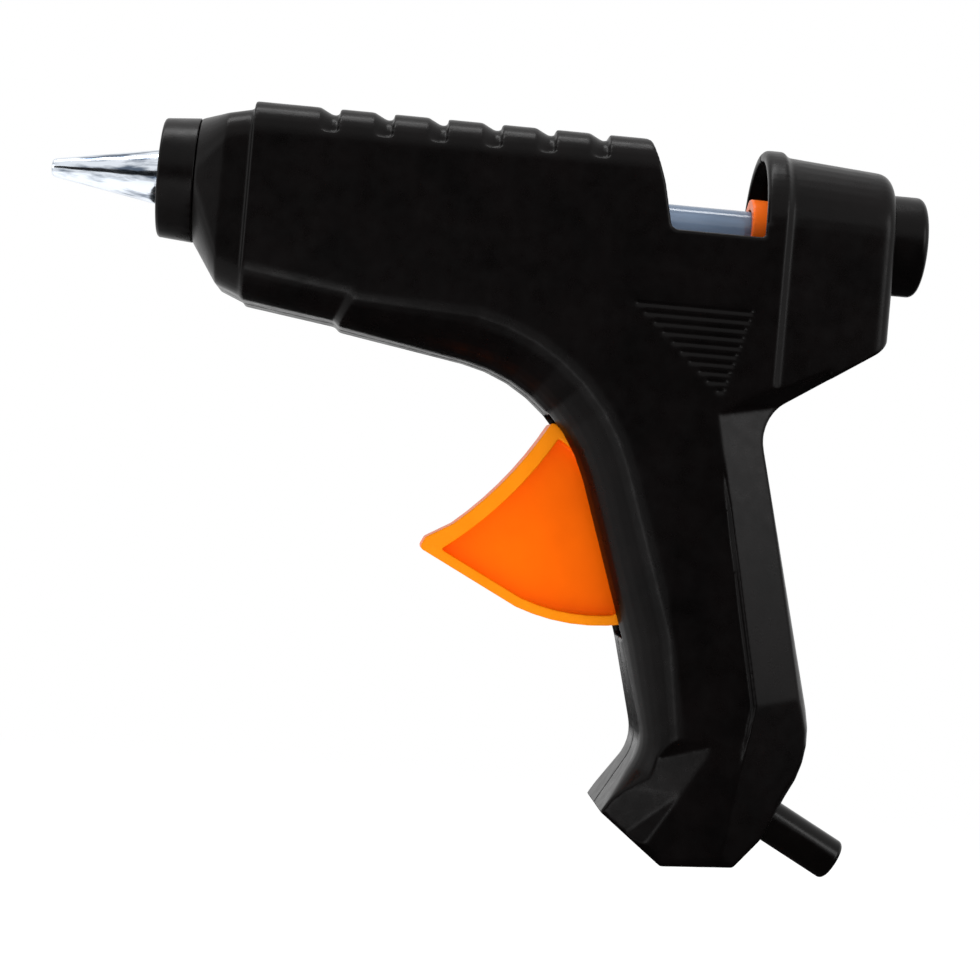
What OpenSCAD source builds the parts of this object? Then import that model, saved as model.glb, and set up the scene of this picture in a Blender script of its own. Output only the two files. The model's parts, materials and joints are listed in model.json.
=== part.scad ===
// Hot glue applicator: a pistol-shaped housing in two moulded halves, a heated barrel behind a bare
// nozzle, and a trigger that draws a feed carriage and the glue stick forward.
// Millimetres. The origin is the centre of the stick inlet's mouth. +X points out of the inlet,
// +Z is up, the nozzle points towards -X, and the left half lies at -Y.

/* [Glue stick] */
// Diameter of the glue stick
stick_d = 7.2; // [6.8:0.1:7.5]
// Length of the loaded stick
stick_len = 93; // [70:1:93]
// Radial room round the stick where it slides
stick_room = 0.3; // [0.2:0.05:0.4]

/* [Housing] */
// Width over the flat sides
body_w = 28.6; // [27.6:0.2:29.6]
// Wall thickness
wall = 2; // [1.6:0.1:2.2]
// Height of the rail's flat top above the glue axis
rail_z = 13.15; // [12.6:0.05:14.8]
// Radius of the rail's shoulders
shoulder_r = 5.7; // [4.5:0.05:6.2]
// Distance from the inlet's mouth to the front step of the housing
front_step = 115.75; // [113:0.05:118]
// Distance from the inlet's mouth to the foot of the window's front wall
window_front = 44.8; // [44.2:0.05:45.6]
// Distance from the inlet's mouth to the mouth of the cap
window_rear = 28.9; // [28.5:0.05:29.5]
// Height of the window's sill, measured from the glue axis
sill_z = -2.2; // [-2.8:0.1:-1.6]
// Distance from the glue axis down to the foot of the grip
grip_len = 108.3; // [102:0.1:116]
// Rake of the grip from upright, in degrees
grip_rake = 14.7; // [13.5:0.1:16]

/* [Surface details] */
// Number of notches across the rail
notch_count = 6; // [3:1:7]
// Spacing of the notches
notch_pitch = 9.07; // [7:0.01:9.2]
// Length of a notch along the rail
notch_len = 3.35; // [2.4:0.05:4.5]
// Depth of a notch
notch_depth = 1.1; // [0.5:0.05:1.25]
// Number of grip grooves in the triangle under the window
groove_count = 10; // [5:1:10]
// Spacing of the grip grooves
groove_pitch = 1.5; // [1.2:0.05:1.55]
// Depth of a grip groove
groove_depth = 0.4; // [0.2:0.05:0.6]
// Depth of the palm relief at the back strap
relief_depth = 1; // [0.4:0.1:1.2]

/* [Nose] */
// Length of the nose ahead of the front step
nose_len = 9.3; // [8.6:0.05:10.4]
// Length of the nose collar
collar_len = 6.15; // [5:0.05:7]
// Radius of the nose collar at its back edge
collar_r = 10.6; // [10.3:0.05:11]
// Length of the bare nozzle cone
nozzle_len = 17.9; // [14:0.1:20]
// Radius of the nozzle cone at its base
nozzle_r = 4.65; // [4.4:0.05:4.8]
// Radius of the nozzle at its tip
nozzle_tip_r = 1.6; // [1.3:0.05:2]
// Radius of the orifice in the tip
orifice_r = 0.8; // [0.5:0.05:1]

/* [Cap] */
// Radius of the cap at its back edge
cap_back_r = 12.2; // [11.8:0.05:12.6]
// How far the bead at the cap's mouth stands out
bead_h = 0.9; // [0.5:0.05:1.2]
// Width of the bead
bead_w = 4.4; // [3.8:0.05:5]
// Distance from the inlet's mouth to the back face of the cap
boss_len = 6.15; // [5.7:0.05:6.6]
// Radius of the inlet ring
boss_r = 8.65; // [8:0.05:9.5]

/* [Trigger] */
// Width of the trigger over its rims
trigger_w = 11; // [9:0.2:11.4]
// Width of the recessed web
web_w = 5; // [3.5:0.1:7]
// Pivot of the trigger, distance ahead of the inlet's mouth
pivot_back = 53.3; // [52.8:0.05:53.8]
// Pivot of the trigger, distance below the glue axis
pivot_drop = 38.5; // [38:0.1:39]
// Radius of the pivot pin
pivot_pin_r = 2; // [1.5:0.1:2.4]
// Swing of the trigger, in degrees
pull_deg = 24; // [20:0.5:26]
// Depth of the drive pin below the glue axis, in the middle of the swing
drive_drop = 8.5; // [8.2:0.1:9]
// Width of the arm
arm_w = 7; // [6:0.1:7.6]
// Thickness of the arm
arm_t = 5; // [4:0.1:5.4]
// Radial clearance of a pin in the piece that turns on it
turn_gap = 0.06; // [0.03:0.01:0.1]

/* [Carriage] */
// Length of the sleeve round the stick
sleeve_len = 18; // [14:0.5:19]
// Wall of the sleeve round the stick
sleeve_wall = 1.8; // [1.4:0.1:1.9]
// Radius of the drive pin
drive_pin_r = 1.5; // [1.2:0.05:1.7]
// Clearance between pieces that slide past each other
slide_gap = 0.3; // [0.2:0.05:0.4]

/* [Barrel and heater] */
// Outside radius of the melt chamber
chamber_r = 6; // [5.6:0.1:6.4]
// Distance from the inlet's mouth to the back of the melt chamber
chamber_back = 71.5; // [70.5:0.5:73]
// Length of the heater plate
heater_len = 24; // [18:1:26]
// Width of the heater plate
heater_w = 10; // [8:0.5:10.5]
// Thickness of the heater plate
heater_t = 2.6; // [2:0.1:3]
// Thickness of a contact strip
strip_t = 0.5; // [0.3:0.1:0.6]
// Thickness of the insulating film sleeve
film_t = 0.25; // [0.2:0.05:0.3]
// Radius of a heater lead
lead_r = 0.9; // [0.6:0.1:1]
// Clearance between pieces that are pushed together
fit_gap = 0.05; // [0.03:0.01:0.1]

/* [Fasteners and cord guard] */
// Radius of a housing screw's shank
screw_r = 1.4; // [1.2:0.05:1.5]
// Radius of a housing screw's head
screw_head_r = 2.75; // [2.5:0.05:2.9]
// Outside radius of the cord guard
guard_r = 3.65; // [3.4:0.05:3.8]
// Radius of the bore for the cord
guard_bore_r = 2.6; // [2.2:0.05:2.7]
// Length of the cord guard outside the grip
guard_len = 14.9; // [12:0.1:17]

/* [Return spring] */
// Radius of the spring's wire
wire_r = 0.35; // [0.3:0.05:0.4]
// Mean radius of the spring's coils
coil_r = 1.9; // [1.7:0.05:2]
// Number of coils
coil_count = 12; // [8:1:13]

/* [Hidden] */
$fn = 48;

// Colours
housing_black = [0.07, 0.065, 0.07];
trigger_orange = [1.0, 0.4, 0.02];
carriage_orange = [0.92, 0.37, 0.07];
aluminium = [0.78, 0.8, 0.83];
steel = [0.6, 0.61, 0.63];

// Overlap that lets a cut run clear of a face
over = 1;
// How far a piece that stands on a wall runs into it
join = 0.2;
// Size of a block that trims a form away, and a length beyond the whole part
trim = 40;
beyond = 200;
// Segment angle of rounded corners, and segments round an edge
corner_step = 10;
edge_steps = 8;

half_w = body_w / 2;
// Radius of the cap behind its bead, which lies flush with the flat sides
cap_r = half_w - bead_h;
// Depth of the hollow at the foot of the grip, in one half
low_depth = half_w - 2 * wall;
stick_r = stick_d / 2;
guide_r = stick_r + stick_room;

// Stations along the glue axis
nose_x = -front_step;
collar_x = nose_x - nose_len;
collar_front_x = collar_x - collar_len;
collar_lip = 1.2;
spigot_r = collar_r - 1.5;
nozzle_base_x = collar_front_x - 0.7;
nozzle_tip_x = nozzle_base_x - nozzle_len;
mouth_x = -window_rear;
sill_x = -window_front;
back_x = -boss_len;
chamber_back_x = -chamber_back;

// Height where the turned cap meets the flat sides
split_z = 0;

// Foot of the grip, on the raked line from grip_start: the other foot points are placed from it
grip_start = -64.7;
foot = [grip_start + grip_len * tan(grip_rake), -grip_len];
throat_front = [-60.9, -29.65];
throat_back = [-27.03, -32.41];

// Side outline of the housing, clockwise: [x, z, corner radius, edge radius]
housing_points = [
    [nose_x - 8, rail_z, 0, shoulder_r],
    [back_x + 0.6, rail_z, 0, shoulder_r],
    [back_x + 0.6, -18.2, 6, 2.5],
    [throat_back.x, throat_back.y, 7.5, 4],
    [foot.x + 24.53, foot.y + 19.47, 19, 8.5],
    [foot.x + 15.6, foot.y + 5, 0, 3],
    [foot.x + 11.2, foot.y + 0.25, 0, 2],
    [foot.x - 1.1, foot.y - 0.4, 0, 1.5],
    [foot.x - 11.8, foot.y + 7.79, 0, 1.5],
    [foot.x - 5.3, foot.y + 18.9, 8, 7],
    [foot.x - 10.2, foot.y + 36.8, 40, 9],
    [throat_front.x, throat_front.y, 28, 9],
    [-98.9, -23.2, 0, 6],
    [-99.8, -22.32, 0, 6],
    [nose_x - 8, -19, 0, 6]
];

// Joint places in side view: [x, z]
pivot = [-pivot_back, -pivot_drop];
arm_len = pivot_drop - drive_drop;
drive_rest = pivot + arm_len * [sin(pull_deg / 2), cos(pull_deg / 2)];
hub_r = 4.2;
// How far the pivot's bosses reach out: they stand in the rounded front wall
pivot_reach = half_w - 4.9;

// Feed carriage
carriage_front_x = mouth_x - 1.1;
carriage_back_x = carriage_front_x + sleeve_len;
sleeve_r = guide_r + sleeve_wall;
cheek_in = arm_t / 2 + slide_gap + 0.2;
cheek_out = cheek_in + 2;
cheek_top = -guide_r + 0.5;
bridge_t = 1.3;
jaw_pin = [carriage_front_x + 10, -sleeve_r - 2.1];
jaw_pin_r = 1;
jaw_hub_r = jaw_pin_r + 0.9;
jaw_half_w = cheek_in - slide_gap;
cheek_low = min(drive_rest.y - drive_pin_r, jaw_pin.y - jaw_hub_r - slide_gap) - bridge_t;
spring_z = cheek_low - 2.6;
spring_front = [drive_rest.x + arm_w / 2 + 4.8, spring_z];
spring_back = [back_x - 7.2, spring_z];
peg_r = 1;
hook_r = peg_r + wire_r + 0.15;

// Barrel
chamber_front_x = nozzle_base_x + 8.8;
nozzle_back_x = chamber_front_x + 6.6;
thread_r = nozzle_r - 0.5;
pocket_len = heater_len + 4;
heater_mid_x = chamber_back_x - 6 - pocket_len / 2;
heater_z = -chamber_r - strip_t - heater_t / 2 - 4.2;
pack_w = heater_w + 2 * (fit_gap + film_t);
pack_h = heater_t + 2 * (strip_t + fit_gap + film_t);
nose_bore_r = chamber_r + 2.3;
ring_seat_r = chamber_r + 3;
ring_x = chamber_back_x - 0.5;
cradle_t = 4;
seal_back_x = chamber_back_x + 4.5;

// Housing screws: [x, z, how far the boss reaches to the side wall]
boss_reach = half_w - wall + join;
screw_places = [
    [nose_x + 4.5, -14.5, boss_reach],
    [throat_front.x - 8.1, -21.6, boss_reach],
    [throat_back.x - 11, throat_back.y - 0.8, boss_reach],
    [back_x - 16.6, -23, boss_reach - 0.6],
    [foot.x + 9.7, foot.y + 50, boss_reach],
    [foot.x - 2.2, foot.y + 13.2, boss_reach - 1.9]
];
head_seat = 6;
screw_tip = 8;

// Cord guard: its axis lies square to the heel, and guard_out is where it leaves the grip
guard_out = [foot.x + 17.41, foot.y + 7.94];
guard_tilt = 28.2;
guard_flange_r = guard_r + 1.4;
guard_inside = 5;
clamp_mid = guard_out + 12 * [-cos(guard_tilt), sin(guard_tilt)];
clamp_screw_gap = 11;
clamp_y = 3;
clamp_t = 2;
clamp_screw_r = 1;
clamp_screw_tip = 5;

// Plain geometry helpers
function unit(v) = v / norm(v);
function flat(p) = [p[0], p[1]];
function wrap(a) = a > 180 ? a - 360 : a < -180 ? a + 360 : a;
function corner(p, q, s, r) =
    r == 0 ? [q] :
    let (
        u = unit(p - q),
        v = unit(s - q),
        half = acos(u * v) / 2,
        centre = q + unit(u + v) * r / sin(half),
        from = q + u * r / tan(half) - centre,
        to = q + v * r / tan(half) - centre,
        start = atan2(from.y, from.x),
        turn = wrap(atan2(to.y, to.x) - start),
        n = max(2, ceil(abs(turn) / corner_step))
    )
    [for (k = [0:n]) centre + r * [cos(start + turn * k / n), sin(start + turn * k / n)]];
function corner_at(pts, i) =
    let (n = len(pts))
    corner(flat(pts[(i + n - 1) % n]), flat(pts[i]), flat(pts[(i + 1) % n]), pts[i][2]);
function rounded(pts) = [for (i = [0:len(pts) - 1]) each corner_at(pts, i)];
function edge_radii(pts) =
    [for (i = [0:len(pts) - 1]) each [for (q = corner_at(pts, i)) pts[i][3]]];
function right_of(a, b) = let (d = unit(b - a)) [d.y, -d.x];
function inset_dir(a, b, c) =
    let (n1 = right_of(a, b), n2 = right_of(b, c)) (n1 + n2) / (1 + n1 * n2);
function arc(centre, r, from, to, n) =
    [for (k = [0:n]) centre + r * [cos(from + (to - from) * k / n), sin(from + (to - from) * k / n)]];

// Triangles that fill a clockwise outline: corners that hold no other point are cut off one by one
function side_of(a, b, p) = (b.x - a.x) * (p.y - a.y) - (b.y - a.y) * (p.x - a.x);
function holds(a, b, c, p) =
    p != a && p != b && p != c && max(side_of(a, b, p), side_of(b, c, p), side_of(c, a, p)) <= 0;
function is_ear(pts, a, b, c, left) =
    side_of(pts[a], pts[b], pts[c]) < 0
    && len([for (k = left) if (holds(pts[a], pts[b], pts[c], pts[k])) k]) == 0;
function first_ear(pts, left, i = 0) =
    let (n = len(left))
    is_ear(pts, left[(i + n - 1) % n], left[i], left[(i + 1) % n], left)
        ? i
        : first_ear(pts, left, i + 1);
function filled(pts, left) =
    len(left) == 3 ? [left] :
    let (n = len(left), i = first_ear(pts, left))
    [
        [left[(i + n - 1) % n], left[i], left[(i + 1) % n]],
        each filled(pts, [for (k = [0:n - 1]) if (k != i) left[k]])
    ];

// A side-view shape, thickened from y0 to y1
module slab(y0, y1) {
    rotate([90, 0, 0])
        translate([0, 0, -y1])
            linear_extrude(y1 - y0)
                children();
}

// A shape drawn as [radius, x], turned about the glue axis
module turned() {
    rotate([0, 90, 0])
        rotate_extrude()
            children();
}

// A round bar along X, or along Y
module bar_x(x0, x1, r) {
    translate([x0, 0, 0])
        rotate([0, 90, 0])
            cylinder(h = x1 - x0, r = r);
}
module bar_y(place, y0, y1, r) {
    translate([place.x, y0, place.y])
        rotate([-90, 0, 0])
            cylinder(h = y1 - y0, r = r);
}

// Half of a plate with an outline in side view, whose side edges are rounded by each point's edge radius.
// It starts a little past the parting plane.
module half_loft(pts, reach) {
    outline = rounded(pts);
    radius = edge_radii(pts);
    n = len(outline);
    inward = [
        for (i = [0:n - 1])
            inset_dir(outline[(i + n - 1) % n], outline[i], outline[(i + 1) % n])
    ];
    function ring(angle) = [
        for (i = [0:n - 1])
            let (p = outline[i] + inward[i] * radius[i] * (1 - cos(angle)))
            [p.x, reach - radius[i] * (1 - sin(angle)), p.y]
    ];
    points = [
        each [for (p = outline) [p.x, -over, p.y]],
        for (k = [0:edge_steps]) each ring(90 * k / edge_steps)
    ];
    sides = [
        for (j = [0:edge_steps], i = [0:n - 1])
            let (a = j * n + i, b = j * n + (i + 1) % n)
            each [[a, a + n, b + n], [a, b + n, b]]
    ];
    last = (edge_steps + 1) * n;
    all = [for (i = [0:n - 1]) i];
    crown = [for (p = ring(90)) [p.x, p.z]];
    parting = filled(outline, all);
    face = [for (t = filled(crown, all)) [last + t[2], last + t[1], last + t[0]]];
    polyhedron(points, concat(parting, sides, face), 4);
}

// A skin of triangles over rings of points, each ring turning right-handed about the way along
module skinned(points, sides) {
    count = len(points) / sides;
    skin = [
        for (i = [0:count - 2], k = [0:sides - 1])
            let (a = i * sides + k, b = i * sides + (k + 1) % sides)
            each [[a, a + sides, b + sides], [a, b + sides, b]]
    ];
    last = (count - 1) * sides;
    near_end = [for (k = [0:sides - 1]) k];
    far_end = [for (k = [sides - 1:-1:0]) last + k];
    polyhedron(points, concat([near_end], skin, [far_end]), 4);
}

// One unbroken tube of triangles along a path
function along(path) = [
    for (i = [0:len(path) - 1])
        unit(path[min(i + 1, len(path) - 1)] - path[max(i - 1, 0)])
];
function squared(n, t) = unit(n - t * (n * t));
function carried(t) = [
    for (
        i = 0, n = squared([0.1, 0.9, 0.3], t[0]);
        i < len(t);
        i = i + 1, n = i < len(t) ? squared(n, t[i]) : n
    ) n
];
module tube(path, r, sides) {
    t = along(path);
    n = carried(t);
    rings = [
        for (i = [0:len(path) - 1], k = [0:sides - 1])
            path[i] + r * (cos(360 * k / sides) * n[i] + sin(360 * k / sides) * cross(t[i], n[i]))
    ];
    skinned(rings, sides);
}

// Housing: outlines in side view
module window_2d() {
    fillet = 1.6;
    lean = 0.36;
    brow = [sill_x - 1.75, 5.6];
    brow_r = 12;
    top_z = rail_z + 4;
    offset(r = -fillet)
        offset(delta = fillet) {
            polygon(rounded([
                [brow.x - lean * (top_z - brow.y), top_z, 0],
                [mouth_x, top_z, 0],
                [mouth_x, sill_z, 0],
                [sill_x, sill_z, 1.2],
                [brow.x, brow.y, brow_r]
            ]));
            // Flares the top edge of the front wall
            translate([brow.x - brow_r, rail_z + 0.02])
                square([mouth_x - brow.x + brow_r, top_z - rail_z]);
        }
}
module housing_2d() {
    difference() {
        polygon(rounded(housing_points));
        translate([nose_x - trim, -trim])
            square([trim, 2 * trim]);
        window_2d();
        translate([mouth_x - over, split_z])
            square([trim, trim]);
    }
}

// Cap: half profile as [radius, x]
cap_round = 2.6;
bead_slope = 1;
cap_profile = [
    [0, mouth_x],
    [cap_r - 0.2, mouth_x],
    each arc([cap_r + bead_h - 1.1, mouth_x + 1.1], 1.1, -90, 0, 6),
    [cap_r + bead_h, mouth_x + bead_w - bead_slope],
    [cap_r, mouth_x + bead_w],
    each arc([cap_back_r - cap_round, back_x - cap_round], cap_round, 5, 90, 7),
    [0, back_x]
];

module nose_form() {
    module station(x, top, low, reach, r) {
        translate([x, 0, 0])
            rotate([90, 0, 90])
                linear_extrude(0.1)
                    offset(r = r, $fn = 32)
                        translate([r - reach, low + r])
                            square([2 * (reach - r), top - low - 2 * r]);
    }
    module middle()
        station(nose_x - 4.3, rail_z - 2.2, -17.9, half_w - 1.5, 5);
    hull() {
        bar_x(collar_x, collar_x + 0.1, collar_r - 0.05);
        middle();
    }
    hull() {
        middle();
        station(nose_x + 0.9, rail_z - 1.15, -20, half_w - 0.8, 5);
    }
}

// One notch in the rail: a sloped floor that runs over the top and down one shoulder
module notch(x) {
    section = [
        [-notch_len, over], [-notch_len, 0], [-0.35 * notch_len, -notch_depth],
        [0, -notch_depth], [0, over]
    ];
    flat_half = half_w - shoulder_r;
    translate([x, 0, rail_z])
        rotate([90, 0, 0])
            translate([0, 0, -flat_half])
                linear_extrude(flat_half)
                    polygon(section);
    translate([x, flat_half, rail_z - shoulder_r])
        rotate([0, 90, 0])
            rotate([0, 0, 102])
                rotate_extrude(angle = 78)
                    polygon([for (p = section) [shoulder_r + p.y, p.x]]);
}
module notches() {
    last_x = sill_x - 11.45;
    for (i = [0:notch_count - 1])
        notch(last_x - i * notch_pitch);
}

// Grip grooves: each is shorter than the one above, so that they fill a triangle
module grooves() {
    top_z = -15.1;
    groove_w = 0.75;
    tip = [mouth_x - 5.05, -29.8];
    left = 15.9;
    right = 4.05;
    for (i = [0:groove_count - 1]) {
        z = top_z - i * groove_pitch;
        share = (z - tip.y) / (top_z - tip.y);
        from = tip.x - left * share;
        to = tip.x + right * share;
        translate([from, half_w - groove_depth, z - groove_w / 2])
            cube([to - from, groove_depth + over, groove_w]);
    }
}

// Faces cut into the sides of the grip, as rows from top to bottom.
// A row runs from its back place to its front place, each with the height of the face there.
function face_row(back, back_y, front, front_y) = [
    [back.x, half_w + over, back.y],
    [back.x, back_y, back.y],
    [front.x, front_y, front.y],
    [front.x, half_w + over, front.y]
];
module face_cut(rows) {
    skinned([for (row = rows) each row], 4);
}
// Height of a face that has run out
run_out = half_w + 0.02;
strap_top = throat_back + [-7.45, 0.2];
strap_low = foot + [12.3, 27.6];
strap_end = foot + [10.8, 15.8];
strap_run = unit(strap_low - strap_top);
strap_out = [-strap_run.y, strap_run.x];

// Back strap: falls away from its crease towards the back, and turns round the heel
module strap_face() {
    reach = 20;
    low_y = half_w - 0.42 * reach;
    heel_out = unit([0.93, -0.36]);
    start = strap_top - 6 * strap_run;
    last = foot + [8.4, -4];
    face_cut([
        face_row(start + reach * strap_out, run_out, start, run_out),
        face_row(strap_top + reach * strap_out, low_y, strap_top, half_w),
        face_row(strap_low + reach * strap_out, low_y, strap_low, half_w),
        face_row(strap_end + reach * heel_out, low_y, strap_end, half_w),
        face_row(last + reach * heel_out, low_y, last, half_w)
    ]);
}

// Palm relief: deepest along the strap's crease, running out forwards and at both ends
module palm_relief() {
    function relief_row(place, depth, width) =
        face_row(place, depth == 0 ? run_out : half_w - depth, place - width * strap_out, run_out);
    function on_crease(share) = strap_top + share * (strap_low - strap_top);
    face_cut([
        relief_row(on_crease(0.12), 0, 3),
        relief_row(on_crease(0.35), 0.6 * relief_depth, 9),
        relief_row(on_crease(0.67), relief_depth, 13),
        relief_row(strap_low, 0.9 * relief_depth, 12),
        relief_row(strap_end, 0, 3)
    ]);
}

// Toe facet: falls away from its crease towards the tip of the toe, and runs out at its top
module toe_facet() {
    crease_top = foot + [6.6, 20.8];
    crease_low = foot + [-4, 3.6];
    low_y = half_w - 3.6;
    face_cut([
        face_row(crease_top, run_out, foot + [-8.4, 21.8], run_out),
        face_row((crease_top + crease_low) / 2, half_w, foot + [-19.8, 12.4], low_y),
        face_row(1.4 * crease_low - 0.4 * crease_top, half_w, crease_low + [-16, -10], low_y)
    ]);
}
module grip_faces() {
    strap_face();
    palm_relief();
    toe_facet();
}

// Outside of one half, on the +Y side
module half_outside() {
    difference() {
        union() {
            difference() {
                half_loft(housing_points, half_w);
                translate([nose_x - trim, -trim, -trim])
                    cube([trim, 2 * trim, 2 * trim]);
                slab(-trim, trim)
                    window_2d();
                translate([mouth_x - over, -trim, split_z])
                    cube([trim, 2 * trim, trim]);
                // The sides of the cap draw in towards the back
                translate([0, 0, -trim])
                    linear_extrude(trim + over)
                        difference() {
                            translate([mouth_x + bead_w - bead_slope, 0])
                                square([trim, trim]);
                            polygon([for (p = cap_profile) [p[1], p[0]]]);
                        }
            }
            nose_form();
            bar_x(collar_front_x + collar_lip + 0.1, collar_x + 2, spigot_r);
            intersection() {
                turned()
                    polygon(cap_profile);
                translate([-2 * trim, -trim, split_z])
                    cube([2 * trim, 2 * trim, trim]);
            }
        }
        translate([-beyond, -2 * trim, -beyond])
            cube([2 * beyond, 2 * trim, 2 * beyond]);
        notches();
        grooves();
    }
}

// Depth of the hollow in front of the cap, and in the cap, whose sides draw in
side_depth = half_w - wall;
cap_depth = cap_back_r - wall;
side_parts = [[-beyond, mouth_x + bead_w, side_depth], [mouth_x, beyond, cap_depth]];

// Hollow of one half, in three depths so that the wall keeps its thickness round the edges
module half_hollow() {
    depths = [[wall, 6.5], [1.75 * wall, low_depth]];
    difference() {
        union() {
            for (d = depths)
                slab(-over, d[1])
                    offset(delta = -d[0])
                        housing_2d();
            for (part = side_parts)
                slab(-over, part[2])
                    intersection() {
                        offset(delta = -3 * wall)
                            housing_2d();
                        translate([part[0], foot.y + 26])
                            square([part[1] - part[0], 2 * beyond]);
                    }
        }
        translate([0, -wall, 0])
            grip_faces();
    }
    // Bores for the barrel, the stick, the carriage and the inlet ring
    bar_x(collar_front_x, nose_x, collar_r - 3.1);
    bar_x(collar_x + 1, nose_x + 2 * wall, nose_bore_r);
    bar_x(sill_x - 9, mouth_x, sleeve_r + slide_gap);
    sill_cut = wall + 0.5;
    translate([sill_x - 3, -over, sill_z - sill_cut])
        cube([mouth_x - sill_x + 4, sleeve_r + slide_gap + over, sill_cut + over]);
    turned()
        polygon([
            [0, mouth_x - over],
            [cap_r - wall / 2, mouth_x - over],
            [cap_r - wall / 2, mouth_x + 0.4],
            [cap_r - wall, mouth_x + bead_w / 2],
            [cap_back_r - wall, back_x - wall - 1.5],
            [cap_back_r - wall - 1.5, back_x - wall],
            [0, back_x - wall]
        ]);
    bar_x(back_x - 2 * wall, over, boss_r - 2.6);
}

// What stands inside one half: screw bosses, pivot boss, carriage runner, barrel cradle and spring post
module half_inside(boss_r0) {
    for (s = screw_places)
        bar_y([s.x, s.y], 0, s.z, boss_r0);
    bar_y(pivot, trigger_w / 2 + slide_gap + 0.1, pivot_reach, pivot_pin_r + 1.6);
    runner_in = cheek_in + 0.7;
    runner_x = chamber_back_x + 6;
    for (run = [[runner_x, mouth_x + bead_w, side_depth], [mouth_x, back_x - wall, cap_depth]])
        translate([run[0], runner_in, cheek_low - slide_gap - 1.6])
            cube([run[1] - run[0], run[2] + join - runner_in, 1.6]);
    // The cradle's outer corner follows the shoulder and runs into the wall
    cradle_low = -chamber_r - 1;
    cradle_side = half_w - wall + join;
    cradle_r = shoulder_r - wall + join;
    difference() {
        translate([ring_x - cradle_t, 0, 0])
            rotate([90, 0, 90])
                linear_extrude(cradle_t)
                    polygon([
                        [0, cradle_low],
                        [cradle_side, cradle_low],
                        each arc([half_w - shoulder_r, rail_z - shoulder_r], cradle_r, 0, 90, 8),
                        [0, rail_z - wall + join]
                    ]);
        bar_x(ring_x - cradle_t - over, ring_x + over, ring_seat_r + fit_gap);
    }
    bar_y(spring_back, 0, cap_depth + join, peg_r);
}

// Opening in the front of the grip that the trigger swings through
module trigger_slot() {
    slot_half = trigger_w / 2 + slide_gap + 0.3;
    reach = 11;
    bar_y(pivot, -over, slot_half, hub_r + 1.6);
    slab(-over, slot_half)
        polygon([
            pivot + [-reach, 4],
            pivot + [4, 4],
            pivot + [16, -32.5],
            pivot + [1, -33.5]
        ]);
}

module cord_way(r, from, to) {
    translate([guard_out.x, 0, guard_out.y])
        rotate([0, 90 + guard_tilt, 0])
            translate([0, 0, from])
                cylinder(h = to - from, r = r);
}

module half_shell(boss_r0) {
    difference() {
        union() {
            difference() {
                half_outside();
                half_hollow();
            }
            half_inside(boss_r0);
        }
        trigger_slot();
        bar_y(pivot, 0, pivot_reach - 0.5, pivot_pin_r + fit_gap);
        cord_way(guard_r + fit_gap, -guard_inside, guard_flange_r);
        grip_faces();
    }
}

module left_shell() {
    color(housing_black)
        mirror([0, 1, 0])
            difference() {
                union() {
                    half_shell(screw_r + 1.8);
                    clamp_posts();
                }
                for (s = screw_places)
                    bar_y([s.x, s.y], -over, screw_tip + 0.5, screw_r + fit_gap);
            }
}

// Posts for the cord clamp stand on the left half and reach past the parting plane
function clamp_place(side) = clamp_mid + side * clamp_screw_gap / 2 * [sin(guard_tilt), cos(guard_tilt)];
module clamp_posts() {
    post_r = 2.4;
    for (side = [-1, 1])
        difference() {
            bar_y(clamp_place(side), -clamp_y, low_depth + join, post_r);
            bar_y(clamp_place(side), -clamp_y - over, clamp_screw_tip + over, clamp_screw_r + fit_gap);
        }
}

module right_shell() {
    color(housing_black)
        difference() {
            half_shell(screw_head_r + 1.4);
            for (s = screw_places) {
                bar_y([s.x, s.y], -over, half_w, screw_r + 0.2);
                bar_y([s.x, s.y], head_seat, half_w + over, screw_head_r + 0.25);
            }
        }
}

module shell_screws() {
    head_h = 2;
    recess_r = 1.3;
    color(steel)
        for (s = screw_places)
            difference() {
                union() {
                    bar_y([s.x, s.y], -screw_tip, head_seat + 0.1, screw_r);
                    bar_y([s.x, s.y], head_seat, head_seat + head_h, screw_head_r);
                }
                for (turn = [0, 90])
                    translate([s.x, head_seat + head_h, s.y])
                        rotate([0, turn, 0])
                            cube([2 * recess_r, 2, 0.7], center = true);
            }
}

module nose_collar() {
    front_r = collar_r - 0.45;
    round_r = 0.6;
    break_r = 0.15;
    color(housing_black)
        turned()
            polygon([
                [nozzle_r + 0.35, collar_front_x],
                each arc([front_r - round_r, collar_front_x + round_r], round_r, -90, 0, 6),
                [collar_r, collar_x - break_r],
                [collar_r - break_r, collar_x],
                [spigot_r + fit_gap, collar_x],
                [spigot_r + fit_gap, collar_front_x + collar_lip],
                [nozzle_r + 0.35, collar_front_x + collar_lip]
            ]);
}

module nozzle() {
    channel_r = 2;
    color(aluminium)
        turned()
            polygon([
                [orifice_r, nozzle_tip_x],
                [nozzle_tip_r - 0.3, nozzle_tip_x],
                [nozzle_tip_r, nozzle_tip_x + 0.5],
                [nozzle_r, nozzle_base_x],
                [nozzle_r, chamber_front_x],
                [thread_r, chamber_front_x],
                [thread_r, nozzle_back_x],
                [channel_r, nozzle_back_x],
                [channel_r, nozzle_base_x - 3],
                [orifice_r, nozzle_tip_x + 4]
            ]);
}

module inlet_ring() {
    mouth_round = 1.3;
    neck_r = boss_r - 2.6 - fit_gap;
    color(housing_black)
        turned()
            polygon([
                [guide_r, back_x - wall - 2.4],
                [boss_r - 1.2, back_x - wall - 2.4],
                [boss_r - 1.2, back_x - wall - fit_gap],
                [neck_r, back_x - wall - fit_gap],
                [neck_r, back_x + fit_gap],
                [boss_r, back_x + fit_gap],
                each arc([boss_r - mouth_round, -mouth_round], mouth_round, 0, 90, 6),
                [guide_r, 0]
            ]);
}

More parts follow.
